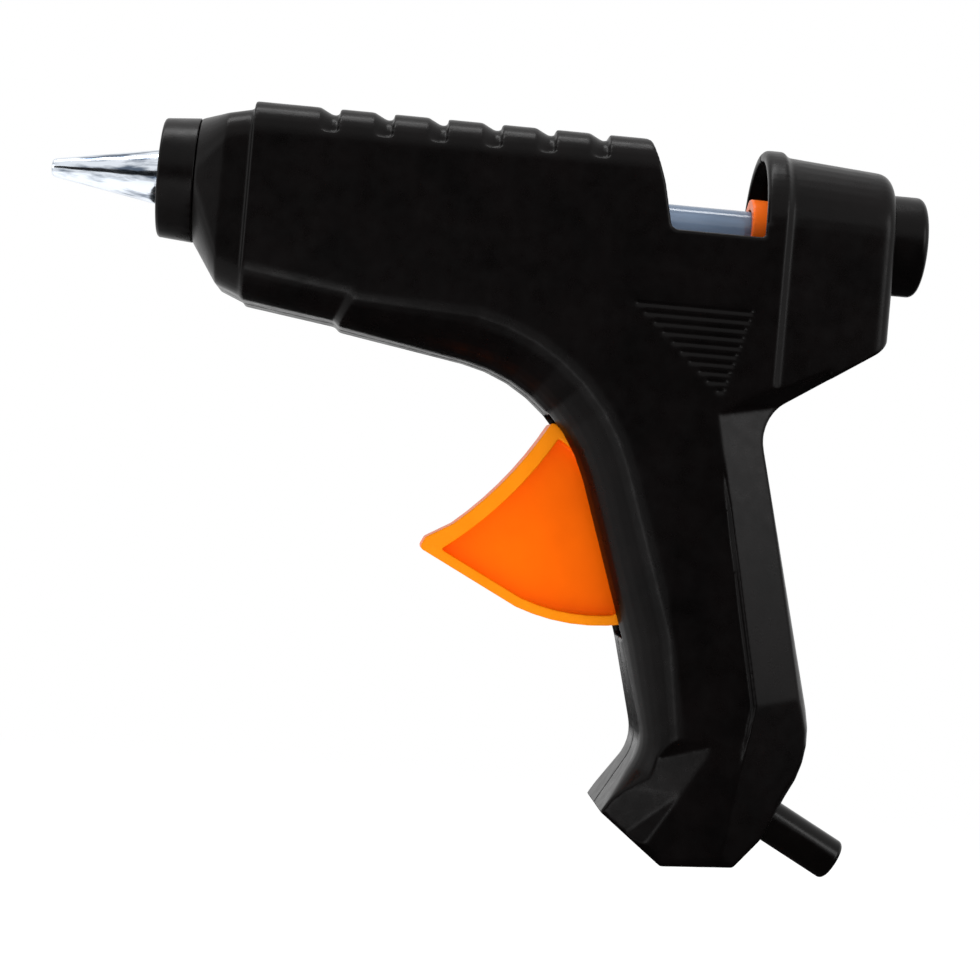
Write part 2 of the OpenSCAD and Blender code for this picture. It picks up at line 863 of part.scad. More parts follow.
module melt_chamber() {
    wall_t = 1.5;
    pocket_low = heater_z - pack_h / 2 - wall_t;
    color(aluminium)
        difference() {
            union() {
                bar_x(chamber_front_x, chamber_back_x, chamber_r);
                translate([heater_mid_x - pocket_len / 2, -pack_w / 2 - wall_t, pocket_low])
                    cube([pocket_len, pack_w + 2 * wall_t, -chamber_r / 2 - pocket_low]);
            }
            bar_x(chamber_front_x - over, chamber_back_x + over, guide_r);
            bar_x(chamber_front_x - over, nozzle_back_x, thread_r + fit_gap);
            translate([heater_mid_x - pocket_len, -pack_w / 2 - fit_gap, heater_z - pack_h / 2 - fit_gap])
                cube([2 * pocket_len, pack_w + 2 * fit_gap, pack_h + 2 * fit_gap]);
        }
}

module front_support() {
    color([0.86, 0.84, 0.78])
        turned()
            translate([chamber_r + fit_gap, chamber_front_x + 1.5])
                square([nose_bore_r - chamber_r - 2 * fit_gap, 4]);
}

module rear_support() {
    color([0.86, 0.84, 0.78])
        turned()
            polygon([
                [chamber_r + fit_gap, ring_x - cradle_t - 1],
                [ring_seat_r + 1, ring_x - cradle_t - 1],
                [ring_seat_r + 1, ring_x - cradle_t - fit_gap],
                [ring_seat_r, ring_x - cradle_t - fit_gap],
                [ring_seat_r, ring_x],
                [chamber_r + fit_gap, ring_x]
            ]);
}

module inlet_sleeve() {
    color([0.75, 0.3, 0.22])
        turned()
            polygon([
                [guide_r, chamber_back_x + fit_gap],
                [chamber_r - 0.2, chamber_back_x + fit_gap],
                [chamber_r - 0.2, seal_back_x - 1.2],
                [guide_r + 1, seal_back_x],
                [guide_r, seal_back_x]
            ]);
}

module sleeve_clamp() {
    color(steel)
        turned()
            translate([chamber_r - 0.2 + fit_gap, chamber_back_x + 0.8])
                square([0.6, 1.8]);
}

module ptc_heater() {
    color([0.35, 0.33, 0.32])
        translate([heater_mid_x, 0, heater_z])
            cube([heater_len, heater_w, heater_t], center = true);
}

// A contact strip lies on each face of the heater plate, with a tab at its back end
tab_len = 3;
tab_w = 2.2;
tab_y = 3;
tab_end_x = heater_mid_x + heater_len / 2 + 1 + tab_len;
function strip_z(side) = heater_z + side * (heater_t + strip_t) / 2;
module heater_electrodes() {
    color(aluminium)
        for (side = [-1, 1])
            translate([0, 0, strip_z(side) - strip_t / 2]) {
                translate([heater_mid_x - heater_len / 2, -heater_w / 2, 0])
                    cube([heater_len + 1, heater_w, strip_t]);
                translate([heater_mid_x, side * tab_y - tab_w / 2, 0])
                    cube([tab_end_x - heater_mid_x, tab_w, strip_t]);
            }
}

module heater_insulation() {
    film_len = heater_len + 2;
    color([0.72, 0.45, 0.12])
        translate([heater_mid_x, 0, heater_z])
            difference() {
                cube([film_len, pack_w, pack_h], center = true);
                cube([film_len + over, pack_w - 2 * film_t, pack_h - 2 * film_t], center = true);
            }
}

// Leads: from the tabs, past the trigger on both sides, down the grip to the splices
splice_top = foot + [2.2, 29];
splice_y = 4.6;
lead_side_y = half_w - wall - 2.5;
function lead_route(side) = [
    [tab_end_x, side * tab_y, strip_z(side)],
    [tab_end_x + 2, side * (tab_y + 0.6), strip_z(side) - 0.6],
    [tab_end_x + 5.5, side * 6.2, strip_z(side) - 2],
    [pivot.x - 11.5, side * 8.2, pivot.y + 21.9],
    [pivot.x - 6, side * lead_side_y, pivot.y + 18.9],
    [pivot.x + 1, side * lead_side_y, pivot.y + 14.1],
    [pivot.x + 6.5, side * lead_side_y, pivot.y + 7.5],
    [pivot.x + 10.5, side * lead_side_y, pivot.y - 1.5],
    [pivot.x + 14, side * lead_side_y, pivot.y - 12.5],
    [splice_top.x - 4.3, side * (lead_side_y - 0.4), splice_top.y + 20],
    [splice_top.x - 1.8, side * 7.4, splice_top.y + 11],
    [splice_top.x - 0.3, side * 5.4, splice_top.y + 4.5],
    [splice_top.x, side * splice_y, splice_top.y + 1.6],
    [splice_top.x, side * splice_y, splice_top.y]
];
module heater_leads() {
    color([0.9, 0.88, 0.84])
        for (side = [-1, 1])
            tube(lead_route(side), lead_r, 8);
}

module lead_splices() {
    cap_len = 11;
    splice_r = lead_r + 1.3;
    color([0.2, 0.35, 0.65])
        for (side = [-1, 1])
            translate([splice_top.x, side * splice_y, splice_top.y - cap_len])
                cylinder(h = cap_len, r1 = 0.75 * splice_r, r2 = splice_r);
}

module cord_guard() {
    end_round = 0.9;
    color(housing_black)
        translate([guard_out.x, 0, guard_out.y])
            rotate([0, 90 + guard_tilt, 0])
                rotate_extrude()
                    polygon([
                        [guard_bore_r, -guard_inside],
                        [guard_flange_r, -guard_inside],
                        [guard_flange_r, -3.2],
                        [guard_r, -3.2],
                        each arc([guard_r - end_round, guard_len - end_round], end_round, 0, 80, 6),
                        [guard_bore_r, guard_len]
                    ]);
}

module cord_clamp() {
    clamp_w = 5;
    color(steel)
        difference() {
            translate([clamp_mid.x, clamp_y + fit_gap, clamp_mid.y])
                rotate([0, guard_tilt, 0])
                    translate([-clamp_w / 2, 0, -clamp_screw_gap / 2 - 2.5])
                        cube([clamp_w, clamp_t, clamp_screw_gap + 5]);
            for (side = [-1, 1])
                bar_y(clamp_place(side), 0, half_w, clamp_screw_r + 0.2);
        }
}

module cord_clamp_screws() {
    clamp_top = clamp_y + clamp_t;
    color(steel)
        for (side = [-1, 1]) {
            bar_y(clamp_place(side), -clamp_screw_tip, clamp_top + 0.1, clamp_screw_r);
            bar_y(clamp_place(side), clamp_top + fit_gap, clamp_top + 1.6, 2 * clamp_screw_r);
        }
}

module trigger_pivot_pin() {
    reach = pivot_reach - 0.7;
    color(steel)
        bar_y(pivot, -reach, reach, pivot_pin_r);
}

// Trigger outline about the pivot: hollow front, blunt tip, straight lower edge that turns into an arc,
// and a back edge inside the grip
front_top = [-7.95, 2.74];
front_from = -28.5;
front_to = -50;
front_r = 65.1;
function way(a) = [cos(a), sin(a)];
front_mid = front_top - front_r * way(front_from);
front_end = front_mid + front_r * way(front_to);
tip_top = front_end + [-4.5, -2.65];
tip_low = tip_top + [-0.9, -1.9];
low_mid = [0.4, 2.6];
low_r = 34;
low_from = -110.5;
low_to = -78;
function trigger_outline() = [
    each arc(front_mid, front_r, front_from, front_to, 7),
    tip_top,
    tip_low,
    each arc(low_mid, low_r, low_from, low_to, 6),
    [hub_r - 1.5, -4]
];
module trigger_2d() {
    tip_r = 0.7;
    offset(r = tip_r)
        offset(delta = -tip_r)
            polygon(trigger_outline());
}
module trigger() {
    slot_r = drive_pin_r + 0.15;
    slot_low = arm_len * cos(pull_deg / 2) - 0.3;
    slot_high = arm_len + 0.3;
    arm_end = slot_high + slot_r + 1.6;
    color(trigger_orange)
        difference() {
            translate([pivot.x, 0, pivot.y]) {
                difference() {
                    slab(-trigger_w / 2, trigger_w / 2)
                        trigger_2d();
                    for (side = [0, 1])
                        mirror([0, side, 0])
                            slab(web_w / 2, trigger_w)
                                web_panel_2d();
                }
                bar_y([0, 0], -trigger_w / 2, trigger_w / 2, hub_r);
                rotate([0, pull_deg / 2, 0])
                    slab(-arm_t / 2, arm_t / 2)
                        difference() {
                            union() {
                                translate([-arm_w / 2, 0])
                                    square([arm_w, arm_end - arm_w / 2]);
                                translate([0, arm_end - arm_w / 2])
                                    circle(d = arm_w);
                            }
                            for (z = [slot_low, slot_high])
                                translate([0, z])
                                    circle(r = slot_r);
                            translate([-slot_r, slot_low])
                                square([2 * slot_r, slot_high - slot_low]);
                        }
            }
            bar_y(pivot, -trigger_w, trigger_w, pivot_pin_r + turn_gap);
        }
}

// Recess in each side of the trigger: a wide rim stays at the front and a narrow one below
module web_panel_2d() {
    front_rim = 2.5;
    low_rim = 1.7;
    difference() {
        offset(delta = -low_rim)
            trigger_2d();
        translate(front_mid)
            circle(r = front_r + front_rim, $fn = 160);
    }
    // The recess runs out of the back edge, inside the grip
    intersection() {
        translate([1.5, -29])
            square([12, 22]);
        offset(delta = over)
            trigger_2d();
    }
}

module feed_carriage() {
    sled_front_x = drive_rest.x - drive_pin_r - 2.2;
    sled_back_x = carriage_back_x - 1;
    bridge_x = drive_rest.x + arm_w / 2 + 1.6;
    ear_w = 1;
    color(carriage_orange)
        difference() {
            union() {
                bar_x(carriage_front_x, carriage_back_x, sleeve_r);
                for (side = [0, 1])
                    mirror([0, side, 0]) {
                        translate([sled_front_x, cheek_in, cheek_low])
                            cube([carriage_front_x - sled_front_x + over, cheek_out - cheek_in,
                                -sleeve_r - slide_gap - cheek_low]);
                        translate([carriage_front_x, cheek_in, cheek_low])
                            cube([sled_back_x - carriage_front_x, cheek_out - cheek_in,
                                cheek_top - cheek_low]);
                        translate([spring_front.x - 2, cheek_in - ear_w, spring_z - 2])
                            cube([4, ear_w, cheek_low - spring_z + 3]);
                    }
                translate([bridge_x, -cheek_out, cheek_low])
                    cube([sled_back_x - bridge_x, 2 * cheek_out, bridge_t]);
                bar_y(spring_front, -cheek_in + 0.2, cheek_in - 0.2, peg_r);
            }
            bar_x(carriage_front_x - over, carriage_back_x + over, guide_r);
            bar_y(drive_rest, -half_w, half_w, drive_pin_r + fit_gap);
            bar_y(jaw_pin, -half_w, half_w, jaw_pin_r + fit_gap);
            // Slot that the jaw tips up through
            translate([jaw_pin.x - 6, -cheek_in, -sleeve_r - over])
                cube([8.5, 2 * cheek_in, sleeve_r + over]);
        }
}

module drive_pin() {
    color(steel)
        bar_y(drive_rest, -cheek_out, cheek_out, drive_pin_r);
}

// Jaw: a lever below the stick whose toothed edge stands just clear of it at rest.
// Its tail balances it on the pin.
module gripper_jaw() {
    edge_z = -stick_r - 0.45 - jaw_pin.y;
    edge_front = -4.9;
    tooth = 0.5;
    tooth_pitch = 1.1;
    tail = 6;
    color(carriage_orange)
        difference() {
            union() {
                bar_y(jaw_pin, -jaw_half_w, jaw_half_w, jaw_hub_r);
                translate([jaw_pin.x, 0, jaw_pin.y])
                    slab(-jaw_half_w, jaw_half_w)
                        polygon([
                            [-1.6, -1.2],
                            [edge_front, edge_z - 1.6],
                            for (k = [0:3])
                                each [
                                    [edge_front + k * tooth_pitch, edge_z],
                                    [edge_front + k * tooth_pitch + tooth, edge_z - tooth]
                                ],
                            [0, edge_z - 1.2],
                            [1.7, 0.6],
                            [tail, 0.4],
                            [tail, -1.3],
                            [1.2, -1.3]
                        ]);
            }
            bar_y(jaw_pin, -half_w, half_w, jaw_pin_r + turn_gap);
        }
}

module gripper_pin() {
    color(steel)
        bar_y(jaw_pin, -cheek_out, cheek_out, jaw_pin_r);
}

module glue_stick() {
    color([0.72, 0.8, 0.86, 0.6])
        bar_x(back_x - wall - 2.8 - stick_len, back_x - wall - 2.8, stick_r);
}

// Return spring: a hook round each peg, joined by coils along X
coil_from = spring_front.x + hook_r + 1.8;
coil_to = spring_back.x - hook_r - 1.8;
spring_rings = 8;
function hook(centre, dir) = [
    for (a = [150:-30:0])
        [centre.x - dir * hook_r * cos(a), 0, centre.y + hook_r * sin(a)]
];
function reversed(list) = [for (i = [len(list) - 1:-1:0]) list[i]];
spring_path = [
    each hook(spring_front, -1),
    [coil_from - 1.1, 0, spring_z - 0.5],
    [coil_from - 0.4, 0.6 * coil_r, spring_z - 0.6 * coil_r],
    for (k = [0:coil_count * spring_rings])
        let (a = 360 * k / spring_rings)
        [
            coil_from + (coil_to - coil_from) * k / (coil_count * spring_rings),
            coil_r * cos(a),
            spring_z + coil_r * sin(a)
        ],
    [coil_to + 0.4, 0.6 * coil_r, spring_z + 0.6 * coil_r],
    [coil_to + 1.1, 0, spring_z + 0.5],
    each reversed(hook(spring_back, 1))
];
spring_gap = min([
    for (i = [0:len(spring_path) - 1], j = [i + 1:len(spring_path) - 1])
        if (j - i > spring_rings / 2) norm(spring_path[i] - spring_path[j]) - 2 * wire_r
]);
module return_spring() {
    echo(least_gap_of_the_return_spring_to_itself = spring_gap);
    color(steel)
        tube(spring_path, wire_r, 6);
}

left_shell();
right_shell();
shell_screws();
nose_collar();
nozzle();
inlet_ring();
melt_chamber();
front_support();
rear_support();
inlet_sleeve();
sleeve_clamp();
ptc_heater();
heater_electrodes();
heater_insulation();
heater_leads();
lead_splices();
cord_guard();
cord_clamp();
cord_clamp_screws();
trigger_pivot_pin();
return_spring();
trigger();
feed_carriage();
drive_pin();
gripper_jaw();
gripper_pin();
glue_stick();
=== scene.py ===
import json
import math

import bpy
from mathutils import Matrix, Vector

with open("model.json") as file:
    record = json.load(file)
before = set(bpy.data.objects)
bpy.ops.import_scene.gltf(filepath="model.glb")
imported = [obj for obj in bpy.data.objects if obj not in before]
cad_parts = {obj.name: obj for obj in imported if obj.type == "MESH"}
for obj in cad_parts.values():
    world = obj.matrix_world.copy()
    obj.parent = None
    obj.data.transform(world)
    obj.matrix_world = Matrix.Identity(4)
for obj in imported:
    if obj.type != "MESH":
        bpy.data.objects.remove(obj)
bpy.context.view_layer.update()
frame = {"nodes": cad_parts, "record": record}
nodes = frame["nodes"]
scene = bpy.context.scene
MM = 0.001

# Camera: it faces the gun's left side from a little towards the nose, and is slightly rolled
CAMERA_AIM = Vector((-70.6, 0.0, -48.33)) * MM
CAMERA_FAR = 400 * MM
CAMERA_AZIMUTH = math.radians(-3)
CAMERA_ROLL = math.radians(5.0)
CAMERA_NEAR_CLIP = 0.01
CAMERA_FAR_CLIP = 50.0
SENSOR_MM = 36.0
LENS_MM = 85.26

# Floor, in metres: around the gun it shows as it is, and further out it fades to white
FLOOR_Z = -150 * MM
FLOOR_HALF = 6.0
FLOOR_GREY = 0.86
FLOOR_ROUGH = 0.9
FADE_END = 0.45
FADE_START = 0.3 * FADE_END

# Dark cards that only reflections see, in metres: a wall beside the gun and a card on the floor
WALL_X = (-2.6, 0.68)
WALL_Y = -1.1
WALL_TOP = 0.35
CARD_X = (-0.17, 0.68)
CARD_Y = (WALL_Y, 0.6)
CARD_Z = FLOOR_Z + 1 * MM
CARD_GREY = 0.02

# World: its strength as a light on surfaces, and where it is looked at
AMBIENT = 0.95
WHITE = 1.0

# Lamps: place, aim, width and height in metres, and power in watts
GUN_MIDDLE = (-0.07, 0.0, -0.05)
GRIP_TOE = (-0.055, -0.014, -0.095)
LAMPS = {
    "top": dict(at=(-0.33, 0.04, 0.75), towards=(-0.33, 0.0, -0.05), size=(0.84, 0.2), watts=4.6),
    "nose_side": dict(at=(-0.85, -0.25, 0.1), towards=GUN_MIDDLE, size=(0.5, 0.4), watts=0.6),
    "back_side": dict(at=(0.7, -0.6, 0.32), towards=GUN_MIDDLE, size=(0.4, 0.5), watts=2.8),
    "toe_side": dict(at=(-0.135, -0.35, -0.1), towards=GRIP_TOE, size=(0.08, 0.09), watts=0.12),
}

# Plastics: limits of colour and roughness, reflectance, and the fineness and depth of the grain
TINT_SCALE = 130.0
GLOSS_SCALE = 420.0
GRAIN_DETAIL = 2.0
PLASTICS = {
    "housing_plastic": dict(
        low=(0.0011, 0.0007, 0.0007), high=(0.0024, 0.0016, 0.0016), rough=(0.26, 0.34),
        specular=0.11, grain=2600.0, depth=0.010 * MM,
    ),
    "guard_rubber": dict(
        low=(0.0011, 0.0008, 0.0007), high=(0.0024, 0.0018, 0.0016), rough=(0.16, 0.24),
        specular=0.15, grain=2600.0, depth=0.008 * MM,
    ),
    "trigger_plastic": dict(
        low=(0.92, 0.128, 0.0002), high=(0.98, 0.142, 0.0004), rough=(0.28, 0.36),
        specular=0.03, grain=1500.0, depth=0.006 * MM,
    ),
    "carriage_plastic": dict(
        low=(0.95, 0.150, 0.008), high=(1.0, 0.168, 0.012), rough=(0.28, 0.36),
        specular=0.15, grain=1500.0, depth=0.006 * MM,
    ),
    "heat_plastic": dict(
        low=(0.66, 0.62, 0.52), high=(0.74, 0.70, 0.60), rough=(0.5, 0.62),
        specular=0.4, grain=1800.0, depth=0.010 * MM,
    ),
    "silicone": dict(
        low=(0.44, 0.065, 0.04), high=(0.52, 0.085, 0.055), rough=(0.5, 0.6),
        specular=0.4, grain=1200.0, depth=0.008 * MM,
    ),
    "ceramic": dict(
        low=(0.10, 0.09, 0.085), high=(0.14, 0.13, 0.122), rough=(0.6, 0.75),
        specular=0.3, grain=3000.0, depth=0.020 * MM,
    ),
    "insulating_film": dict(
        low=(0.46, 0.19, 0.022), high=(0.54, 0.25, 0.038), rough=(0.12, 0.2),
        specular=0.5, grain=300.0, depth=0.020 * MM,
    ),
    "lead_insulation": dict(
        low=(0.72, 0.69, 0.62), high=(0.84, 0.81, 0.74), rough=(0.6, 0.7),
        specular=0.3, grain=1600.0, depth=0.040 * MM,
    ),
    "splice_plastic": dict(
        low=(0.04, 0.10, 0.36), high=(0.06, 0.14, 0.44), rough=(0.25, 0.34),
        specular=0.5, grain=1500.0, depth=0.006 * MM,
    ),
}

# The trigger's raised rims carry painted light, a paler colour where the plastic lets more light
# through: limits of that colour, and how far from the middle plane they begin to be pale and are
# fully so
RIM_LIGHT_LOW = (0.80, 0.215, 0.003)
RIM_LIGHT_HIGH = (0.86, 0.240, 0.005)
RIM_SCALE = 180.0
RIM_FROM = 2.9 * MM
RIM_FULL = 4.9 * MM

# Metals: limits of colour and roughness, and the fineness, stretch, depth and spread of the marks;
# on the nozzle the dark lengthwise streaks are painted reflection over its machining marks
MARK_AND_REFLECTION_DETAIL = 5.0
EVEN_SPREAD = (0.3, 0.7)
METALS = {
    # nozzle: the dark blue-grey lengthwise streaks are painted reflection laid over the machining
    # marks
    "nozzle_aluminium": dict(
        low=(0.10, 0.13, 0.18), high=(0.76, 0.81, 0.88), rough=(0.08, 0.18),
        scale=620.0, stretch=(0.06, 1.0, 1.0), depth=0.010 * MM, spread=(0.38, 0.52),
    ),
    "cast_aluminium": dict(
        low=(0.52, 0.53, 0.55), high=(0.68, 0.69, 0.71), rough=(0.35, 0.5),
        scale=900.0, stretch=(1.0, 1.0, 1.0), depth=0.020 * MM, spread=EVEN_SPREAD,
    ),
    "contact_strip": dict(
        low=(0.72, 0.72, 0.72), high=(0.84, 0.84, 0.84), rough=(0.2, 0.32),
        scale=900.0, stretch=(0.05, 1.0, 1.0), depth=0.004 * MM, spread=EVEN_SPREAD,
    ),
    "steel": dict(
        low=(0.46, 0.47, 0.48), high=(0.62, 0.63, 0.65), rough=(0.24, 0.38),
        scale=700.0, stretch=(1.0, 0.08, 1.0), depth=0.006 * MM, spread=EVEN_SPREAD,
    ),
}

# Glue stick: its colour is partly its own slight blue and partly painted shade of the dark housing
# seen through it; clouds and ripples are drawn out along it
STICK_SHADED_LOW = (0.16, 0.23, 0.34)
STICK_SHADED_HIGH = (0.30, 0.39, 0.54)
STICK_ROUGH = (0.05, 0.12)
STICK_CLOUD = dict(scale=160.0, stretch=(0.25, 1, 1))
STICK_GLOSS_SCALE = 500.0
STICK_RIPPLE = dict(scale=700.0, detail=2.0, stretch=(0.3, 1, 1))
STICK_RIPPLE_DEPTH = 0.010 * MM
STICK_TRANSMISSION = 0.4
STICK_IOR = 1.45
STICK_SPECULAR = 0.5

# Finish of the solids: voxel size and smoothing passes of the moulded pieces, and the share of
# their triangles that is kept; the bevel of the others
MOULDED = {
    "left_shell": dict(voxel=0.3 * MM, passes=6),
    "right_shell": dict(voxel=0.3 * MM, passes=6),
    "trigger": dict(voxel=0.2 * MM, passes=4),
    "feed_carriage": dict(voxel=0.2 * MM, passes=3),
    "gripper_jaw": dict(voxel=0.15 * MM, passes=3),
}
SMOOTH_FACTOR = 0.5
MOULDED_KEPT = 0.4
ROUND_WIRES = ("return_spring", "heater_leads")
WELD_REACH = 0.001 * MM
BEVEL_WIDTH = 0.15 * MM
BEVEL_SEGMENTS = 3
BEVEL_ANGLE = math.radians(30)


def add_camera():
    data = bpy.data.cameras.new("camera")
    data.sensor_width = SENSOR_MM
    data.lens = LENS_MM
    data.clip_start = CAMERA_NEAR_CLIP
    data.clip_end = CAMERA_FAR_CLIP
    camera = bpy.data.objects.new("camera", data)
    scene.collection.objects.link(camera)
    level = Matrix.Rotation(CAMERA_AZIMUTH, 4, "Z") @ Matrix.Rotation(math.pi / 2, 4, "X")
    back = Matrix.Translation((0, 0, CAMERA_FAR))
    roll = Matrix.Rotation(CAMERA_ROLL, 4, "Z")
    camera.matrix_world = Matrix.Translation(CAMERA_AIM) @ level @ back @ roll
    scene.camera = camera


# Materials
class Nodes:
    """A new material's node tree, with short ways to add what the materials here share."""

    def __init__(self, name):
        self.material = bpy.data.materials.new(name)
        self.material.use_nodes = True
        self.tree = self.material.node_tree
        self.shader = self.tree.nodes["Principled BSDF"]

    def add(self, kind, **values):
        node = self.tree.nodes.new(kind)
        for key, value in values.items():
            setattr(node, key, value)
        return node

    def link(self, out, into):
        self.tree.links.new(out, into)

    def place(self, scale=(1, 1, 1)):
        """The CAD frame's coordinates, stretched by scale."""
        where = self.add("ShaderNodeTexCoord")
        mapping = self.add("ShaderNodeMapping")
        mapping.inputs["Scale"].default_value = scale
        self.link(where.outputs["Object"], mapping.inputs["Vector"])
        return mapping.outputs["Vector"]

    def noise(self, scale, detail=3.0, stretch=(1, 1, 1)):
        texture = self.add("ShaderNodeTexNoise")
        texture.inputs["Scale"].default_value = scale
        texture.inputs["Detail"].default_value = detail
        self.link(self.place(stretch), texture.inputs["Vector"])
        return texture.outputs["Fac"]

    def ramp(self, factor, low, high, spread=EVEN_SPREAD):
        """Colours or greys from low to high as factor goes over spread."""
        ramp = self.add("ShaderNodeValToRGB")
        for stop, place, value in zip(ramp.color_ramp.elements, spread, (low, high)):
            stop.position = place
            stop.color = (*value, 1) if isinstance(value, tuple) else (value, value, value, 1)
        self.link(factor, ramp.inputs["Fac"])
        return ramp.outputs["Color"]

    def bump(self, height, depth):
        bump = self.add("ShaderNodeBump")
        bump.inputs["Strength"].default_value = 1.0
        bump.inputs["Distance"].default_value = depth
        self.link(height, bump.inputs["Height"])
        self.link(bump.outputs["Normal"], self.shader.inputs["Normal"])

    def set(self, **values):
        """Shader inputs that are the same all over the surface."""
        for key, value in values.items():
            title = key.replace("_", " ").title().replace("Ior", "IOR")
            self.shader.inputs[title].default_value = value


def plastic(name, low, high, rough, specular, grain, depth):
    """Moulded plastic: slightly uneven colour and gloss over a fine spark-eroded grain."""
    n = Nodes(name)
    n.link(n.ramp(n.noise(TINT_SCALE), low, high), n.shader.inputs["Base Color"])
    n.link(n.ramp(n.noise(GLOSS_SCALE), *rough), n.shader.inputs["Roughness"])
    n.bump(n.noise(grain, GRAIN_DETAIL), depth)
    n.set(specular_ior_level=specular)
    return n


def metal(name, low, high, rough, scale, stretch, depth, spread):
    """Bare metal with machining or rolling marks that run with stretch, smooth where it is pale; on
    the nozzle the dark streaks are partly painted reflection.
    """
    n = Nodes(name)
    marks_and_reflections = n.noise(scale, MARK_AND_REFLECTION_DETAIL, stretch)
    smoothest, roughest = rough
    # on the nozzle this colour is partly painted reflection
    n.link(n.ramp(marks_and_reflections, low, high, spread), n.shader.inputs["Base Color"])
    n.link(n.ramp(marks_and_reflections, roughest, smoothest), n.shader.inputs["Roughness"])
    n.bump(marks_and_reflections, depth)
    n.set(metallic=1.0)
    return n


def paint_rim_light(n):
    """Paints light on the trigger's raised rims as a paler colour, where the plastic lets more
    light through.
    """
    web = n.shader.inputs["Base Color"].links[0].from_socket
    apart = n.add("ShaderNodeSeparateXYZ")
    n.link(n.place(), apart.inputs["Vector"])
    side = n.add("ShaderNodeMath", operation="ABSOLUTE")
    n.link(apart.outputs["Y"], side.inputs[0])
    height = n.add("ShaderNodeMapRange", interpolation_type="SMOOTHSTEP")
    height.inputs["From Min"].default_value = RIM_FROM
    height.inputs["From Max"].default_value = RIM_FULL
    n.link(side.outputs[0], height.inputs["Value"])
    # painted light: the paler colour of the raised rims
    painted_rim_light = n.ramp(n.noise(RIM_SCALE), RIM_LIGHT_LOW, RIM_LIGHT_HIGH)
    mix = n.add("ShaderNodeMix", data_type="RGBA")
    n.link(height.outputs["Result"], mix.inputs["Factor"])
    n.link(web, mix.inputs["A"])
    n.link(painted_rim_light, mix.inputs["B"])
    n.link(mix.outputs["Result"], n.shader.inputs["Base Color"])


def hot_melt():
    """Cloudy, slightly blue translucent stick, its colour darkened as painted shade of the dark
    housing seen through it.
    """
    n = Nodes("hot_melt")
    # painted shade: the stick's colour is darkened for the dark housing seen through it
    clouds_and_shade = n.ramp(n.noise(**STICK_CLOUD), STICK_SHADED_LOW, STICK_SHADED_HIGH)
    n.link(clouds_and_shade, n.shader.inputs["Base Color"])
    n.link(n.ramp(n.noise(STICK_GLOSS_SCALE), *STICK_ROUGH), n.shader.inputs["Roughness"])
    n.bump(n.noise(**STICK_RIPPLE), STICK_RIPPLE_DEPTH)
    n.set(
        transmission_weight=STICK_TRANSMISSION,
        ior=STICK_IOR,
        specular_ior_level=STICK_SPECULAR,
    )
    return n


def make_materials():
    made = {name: plastic(name, **values) for name, values in PLASTICS.items()}
    made.update({name: metal(name, **values) for name, values in METALS.items()})
    made["hot_melt"] = hot_melt()
    # painted light on the trigger's raised rims
    paint_rim_light(made["trigger_plastic"])
    return {name: n.material for name, n in made.items()}


# Modifiers that finish the CAD solids
def smooth_shaded(obj):
    mesh = obj.data
    if mesh.has_custom_normals:
        mesh.attributes.remove(mesh.attributes["custom_normal"])
    mesh.polygons.foreach_set("use_smooth", [True] * len(mesh.polygons))
    weld = obj.modifiers.new("weld", "WELD")
    weld.merge_threshold = WELD_REACH


def moulded(obj, voxel, passes):
    """Rounds every edge a little, as a moulding has them."""
    smooth_shaded(obj)
    remesh = obj.modifiers.new("remesh", "REMESH")
    remesh.mode = "VOXEL"
    remesh.voxel_size = voxel
    remesh.use_smooth_shade = True
    smooth = obj.modifiers.new("smooth", "SMOOTH")
    smooth.factor = SMOOTH_FACTOR
    smooth.iterations = passes
    thin = obj.modifiers.new("thin", "DECIMATE")
    thin.ratio = MOULDED_KEPT


def eased(obj):
    """Bevels the sharp edges."""
    smooth_shaded(obj)
    bevel = obj.modifiers.new("bevel", "BEVEL")
    bevel.width = BEVEL_WIDTH
    bevel.segments = BEVEL_SEGMENTS
    bevel.limit_method = "ANGLE"
    bevel.angle_limit = BEVEL_ANGLE
    bevel.use_clamp_overlap = True
    normals = obj.modifiers.new("normals", "WEIGHTED_NORMAL")
    normals.keep_sharp = True


def finish_nodes(materials):
    slots = {s["node"]: s["material_slot"] for s in frame["record"]["subparts"]}
    for name, obj in nodes.items():
        obj.data.materials.clear()
        obj.data.materials.append(materials[slots[name]])
        if name in MOULDED:
            moulded(obj, **MOULDED[name])
        elif name in ROUND_WIRES:
            smooth_shaded(obj)
            obj.modifiers.new("round", "SUBSURF").levels = 1
        else:
            eased(obj)


# Stage and light
def seen_directly(tree):
    """1 where a ray from the camera, a reflection or a refraction looks, else 0."""
    path = tree.nodes.new("ShaderNodeLightPath")
    either = tree.nodes.new("ShaderNodeMath")
    either.operation = "MAXIMUM"
    any_of_them = tree.nodes.new("ShaderNodeMath")
    any_of_them.operation = "MAXIMUM"
    tree.links.new(path.outputs["Is Camera Ray"], either.inputs[0])
    tree.links.new(path.outputs["Is Glossy Ray"], either.inputs[1])
    tree.links.new(either.outputs[0], any_of_them.inputs[0])
    tree.links.new(path.outputs["Is Transmission Ray"], any_of_them.inputs[1])
    return any_of_them.outputs[0]


def add_world():
    world = bpy.data.worlds.new("studio")
    world.use_nodes = True
    scene.world = world
    tree = world.node_tree
    background = tree.nodes["Background"]
    background.inputs["Color"].default_value = (1, 1, 1, 1)
    level = tree.nodes.new("ShaderNodeMapRange")
    level.inputs["To Min"].default_value = AMBIENT
    level.inputs["To Max"].default_value = WHITE
    tree.links.new(seen_directly(tree), level.inputs["Value"])
    tree.links.new(level.outputs["Result"], background.inputs["Strength"])


def level_sheet(x, y, z):
    """Corners of a level rectangle."""
    return [(x[0], y[0], z), (x[1], y[0], z), (x[1], y[1], z), (x[0], y[1], z)]


